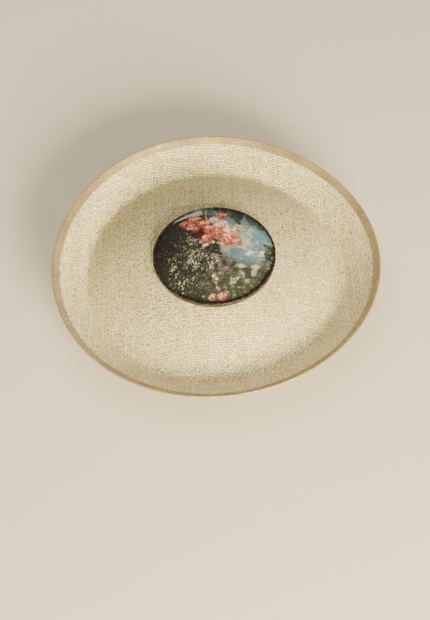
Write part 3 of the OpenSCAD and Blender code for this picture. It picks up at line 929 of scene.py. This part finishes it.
cap_ring = Vector((
    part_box("cap_wire")[1][0] - wire_radius, (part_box("cap_wire")[0][2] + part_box("cap_wire")[1][2]) / 2
))
cap_wire = turned_shape(circle_outline(cap_ring, wire_radius, 12), 160, True)
cap_wire = new_piece("cap_wire_round", cap_wire, wire_cover, "hat", True)
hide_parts("cap_wire")
cap_joiner = new_piece("cap_joiner_tube", crimped_tube(cap_ring, joiner_length), brass, "hat", True)
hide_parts("cap_wire_joiner")


def cap_wall(depth, low, high, count):
    """Points up the cap's wall on the layer that lies a depth in from its face."""
    heights = [low + (high - low) * i / count for i in range(count + 1)]
    share = [1 - (z / (cap_top - depth)) ** cap_fullness for z in heights]
    return [((cap_radius - depth) * s ** (1 / cap_fullness), z) for s, z in zip(share, heights)]


binding_out = -0.85 * mm
binding_in = 2.15 * mm
binding_outline = (
    cap_wall(binding_out, 0, cap_leg, 6)
    + cap_wall(binding_out + strip_thickness, strip_thickness, cap_leg, 6)[::-1]
    + cap_wall(binding_in - strip_thickness, strip_thickness, cap_leg, 6)
    + cap_wall(binding_in, 0, cap_leg, 6)[::-1]
)
cap_binding = turned_shape(binding_outline, 200, True)
for vert in cap_binding.verts:
    turn = math.atan2(vert.co.y, vert.co.x)
    spot = Vector((math.cos(turn), math.sin(turn), math.hypot(vert.co.x, vert.co.y) / (9 * mm)))
    vert.co.z += (vert.co.z / cap_leg) ** 2 * 0.6 * mm * noise.noise(7 * spot)
cap_binding = new_piece(
    "cap_binding_strip", cap_binding,
    bias_strip(
        "bias_cut_cap_strip", colour("5f4524"), colour("94733f"), colour("bb9a62"), colour("d0a650")
    ),
    "hat", True,
)
cap_binding_edges = cap_binding.modifiers.new("soft folds", "BEVEL")
cap_binding_edges.width = 0.22 * mm
cap_binding_edges.segments = 2
cap_binding_edges.limit_method = "ANGLE"
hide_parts("cap_binding")
finish_node("cap_tacks", thread)


# Headband: petersham, a stiff ribbon with close crosswise ribs, sewn inside the cap's lower
# edge where it meets the head. A small flat bow of the same ribbon covers its join at the back.
def petersham(name, rib_pitch):
    """The ribbon's cloth; a rib_pitch draws the ribs of a piece that lies across the X axis."""
    material, shader = new_material(name, {"Roughness": 0.7, "Sheen Weight": 0.4, "IOR": 1.5})
    place = own_place(material)
    yarn = blotches(material, place, 0.6 * mm, 3)
    tint = ramp(material, yarn, [(0.3, colour("c3b288")), (0.7, colour("e0d2ab"))])
    ribs = add_node(
        material, "TexWave", {"bands_direction": "Y"},
        {"Vector": place, "Scale": math.pi / 10 / rib_pitch, "Distortion": 0.2},
    ).outputs["Fac"]
    relief = add_node(material, "Math", {"operation": "MULTIPLY_ADD"}, {0: yarn, 1: 0.3, 2: ribs})
    add_bump(material, shader, relief.outputs["Value"], 0.5, 0.15 * mm)
    feed(shader, "Base Color", tint)
    return material


rib_count = 400
rib_depth = 0.12 * mm
band_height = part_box("headband")[1][2]
band_out = 2.25 * mm
band_in = 2.75 * mm
headband = turned_shape(
    cap_wall(band_out, strip_thickness, band_height, 8)
    + cap_wall(band_in, strip_thickness, band_height, 8)[::-1],
    2 * rib_count, True,
)
for vert in headband.verts:
    turn = math.atan2(vert.co.y, vert.co.x)
    radius = math.hypot(vert.co.x, vert.co.y)
    column = round(turn / math.pi * rib_count)
    middle = cap_wall((band_out + band_in) / 2, vert.co.z, vert.co.z, 1)[0][0]
    if column % 2 and radius < middle:
        vert.co.x *= 1 - rib_depth / radius
        vert.co.y *= 1 - rib_depth / radius
headband = new_piece(
    "headband_ribbon", headband, petersham("ribbed_petersham", 0.7 * mm), "hat", False
)
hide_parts("headband")

band_stitch_count = 48
band_stitch_height = 4.5 * mm
band_stitches = bmesh.new()
band_face = cap_wall(band_in, band_stitch_height, band_stitch_height, 1)[0][0]
for i in range(band_stitch_count):
    turn = (i + 0.5 + stitch_dice.uniform(-0.1, 0.1)) * 2 * math.pi / band_stitch_count
    outward = Vector((math.cos(turn), math.sin(turn), 0))
    place = (band_face - rib_depth) * outward + Vector((0, 0, band_stitch_height))
    lean = Vector((0, 0, stitch_dice.uniform(-0.12, 0.12)))
    add_stitch(
        band_stitches, place, Vector((-outward.y, outward.x, 0)) + lean, stitch_length,
        stitch_thickness,
    )
band_stitches = new_piece("headband_running_stitches", band_stitches, thread, "hat", True)
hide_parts("headband_stitches")

bow_low, bow_high = (Vector(corner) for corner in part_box("ribbon_bow"))
bow_middle = (bow_low + bow_high) / 2
bow_reach = bow_high.y
bow_width = bow_high.z - bow_low.z
bow_ribbon = 0.35 * mm
bow_depth = 0.9 * mm


def ribbon_ring(shape, length, depth, width, start):
    """A closed ring of ribbon on the XY plane, its width along Z, from start out along Y."""
    ring = bmesh.ops.create_circle(shape, segments=32, radius=1)["verts"]
    edges = list({e for v in ring for e in v.link_edges})
    for vert in ring:
        out = (vert.co.y + 1) / 2
        full = math.sin(math.pi * min(0.5 + out, 1) / 2) if start else 1
        vert.co = (vert.co.x * depth * (0.35 + 0.65 * out if start else full), start + out * length, 0)
    rows = 5
    for _ in range(rows):
        made = bmesh.ops.extrude_edge_only(shape, edges=edges)["geom"]
        edges = [g for g in made if isinstance(g, bmesh.types.BMEdge)]
        raised = [g for g in made if isinstance(g, bmesh.types.BMVert)]
        bmesh.ops.translate(shape, verts=raised, vec=(0, 0, width / rows))


bow = bmesh.new()
for side in (-1, 1):
    loop = bmesh.new()
    ribbon_ring(loop, bow_reach - bow_ribbon, bow_depth, bow_width, 0.4 * mm)
    for vert in loop.verts:
        out = vert.co.y / bow_reach
        pinch = 0.5 + 0.5 * min(1, 1.6 * out)
        curl = 0.25 * mm * math.sin(3 * out) * (vert.co.z / bow_width - 0.5)
        vert.co.z = (vert.co.z - bow_width / 2) * pinch
        vert.co.x += curl
        vert.co.y *= side
    add_part(bow, loop)
knot = bmesh.new()
knot_length, knot_depth, knot_width = 3.6 * mm, 0.95 * mm, 0.6 * bow_width
ribbon_ring(knot, knot_length, knot_depth, knot_width, 0)
bmesh.ops.translate(knot, verts=knot.verts, vec=(0, -knot_length / 2, -knot_width / 2))
add_part(bow, knot)
bmesh.ops.translate(bow, verts=bow.verts, vec=bow_middle)
bmesh.ops.recalc_face_normals(bow, faces=bow.faces)
bow = new_piece("ribbon_bow_loops", bow, petersham("ribbed_bow_petersham", 0.8 * mm), "hat", True)
bow_wall = bow.modifiers.new("ribbon thickness", "SOLIDIFY")
bow_wall.thickness = bow_ribbon
bow_wall.offset = 0
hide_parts("ribbon_bow")


# Comb: hairpin teeth wound on a straight steel spine. Two loops of wound thread, whipped to the
# headband, hold the spine and let it turn, so the teeth swing in from the cap's wall.
spine_low, spine_high = (Vector(corner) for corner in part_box("comb_spine"))
loops_low, loops_high = (Vector(corner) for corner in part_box("comb_loops"))
spine_middle = (spine_low + spine_high) / 2
loop_width = 5 * mm
loop_middle = loops_high.x - loop_width / 2
loop_outside = spine_middle.z - loops_low.z
loop_thread = 0.4 * mm
coil_radius = loop_outside - loop_thread
coil_turns = int(loop_width / (2 * loop_thread)) - 1
coil_steps = 16
comb_loops = bmesh.new()
for side in (-1, 1):
    start = Vector((
        side * loop_middle - coil_turns * loop_thread, spine_middle.y, spine_middle.z + coil_radius
    ))
    upright = Matrix.Translation(start) @ Matrix.Rotation(math.pi / 2, 4, "X")
    ring = bmesh.ops.create_circle(
        comb_loops, cap_ends=True, segments=8, radius=loop_thread, matrix=upright
    )["verts"]
    face = ring[0].link_faces[0]
    bmesh.ops.spin(
        comb_loops, geom=[*ring, *face.edges, face], cent=(start.x, spine_middle.y, spine_middle.z),
        axis=(1, 0, 0), dvec=(2 * loop_thread / coil_steps, 0, 0), angle=2 * math.pi * coil_turns,
        steps=coil_steps * coil_turns,
    )
    foot = loops_high.y - spine_middle.y - coil_radius + loop_thread
    for strand in (-1, 0, 1):
        place = Vector((
            side * loop_middle + 0.65 * strand * mm, spine_middle.y + coil_radius + foot / 2,
            spine_middle.z + 0.3 * strand * mm,
        ))
        add_stitch(comb_loops, place, Vector((0.1 * strand, 1, 0)), foot + 0.8 * mm, 0.85 * mm)
bmesh.ops.recalc_face_normals(comb_loops, faces=comb_loops.faces)
comb_loops = new_piece("comb_thread_loops", comb_loops, thread, "hat", True)
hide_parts("comb_loops")
finish_node("comb_spine", steel)
finish_node("comb_teeth", steel)


# Floor and light: a plain pale floor, a soft light low from the front right and a wide one
# overhead, with a low panel behind on the left that the glossy dome mirrors.
def floor_paint():
    material, shader = new_material("floor_paint", {"Roughness": 0.9, "Specular IOR Level": 0.2})
    shader.inputs["Base Color"].default_value = colour("d2c7b0")
    return material


floor_mesh = bmesh.new()
bmesh.ops.create_grid(floor_mesh, x_segments=1, y_segments=1, size=6)
floor_data = bpy.data.meshes.new("floor")
floor_mesh.to_mesh(floor_data)
floor_mesh.free()
floor_data.materials.append(floor_paint())
floor = bpy.data.objects.new("floor", floor_data)
bpy.context.scene.collection.objects.link(floor)


def soft_light(name, place, size, watts, tint, mirrored):
    """A panel of light that faces the hat, and may show in its glossy parts."""
    lamp = bpy.data.lights.new(name, "AREA")
    lamp.shape = "RECTANGLE"
    lamp.size, lamp.size_y = size
    lamp.energy = watts
    lamp.color = colour(tint)[:3]
    panel = bpy.data.objects.new(name, lamp)
    panel.matrix_world = (
        Matrix.Translation(place)
        @ (Vector(place) - hat_middle).to_track_quat("Z", "Y").to_matrix().to_4x4()
    )
    panel.visible_glossy = mirrored
    panel.visible_transmission = mirrored
    bpy.context.scene.collection.objects.link(panel)


soft_light("front_light", (1.1, -2.8, 1.2), (1.5, 1.1), 510, "fff6dc", True)
soft_light("top_light", (-0.4, 0.3, 2.8), (2.6, 2.6), 66, "fffaee", False)
soft_light("back_panel", (-0.8, 2.5, 0.3), (1.2, 0.6), 10, "fff6e6", True)

world = bpy.data.worlds.new("studio")
world.use_nodes = True
world.node_tree.nodes["Background"].inputs["Color"].default_value = colour("d8d2c8")
world.node_tree.nodes["Background"].inputs["Strength"].default_value = 0.32
bpy.context.scene.world = world
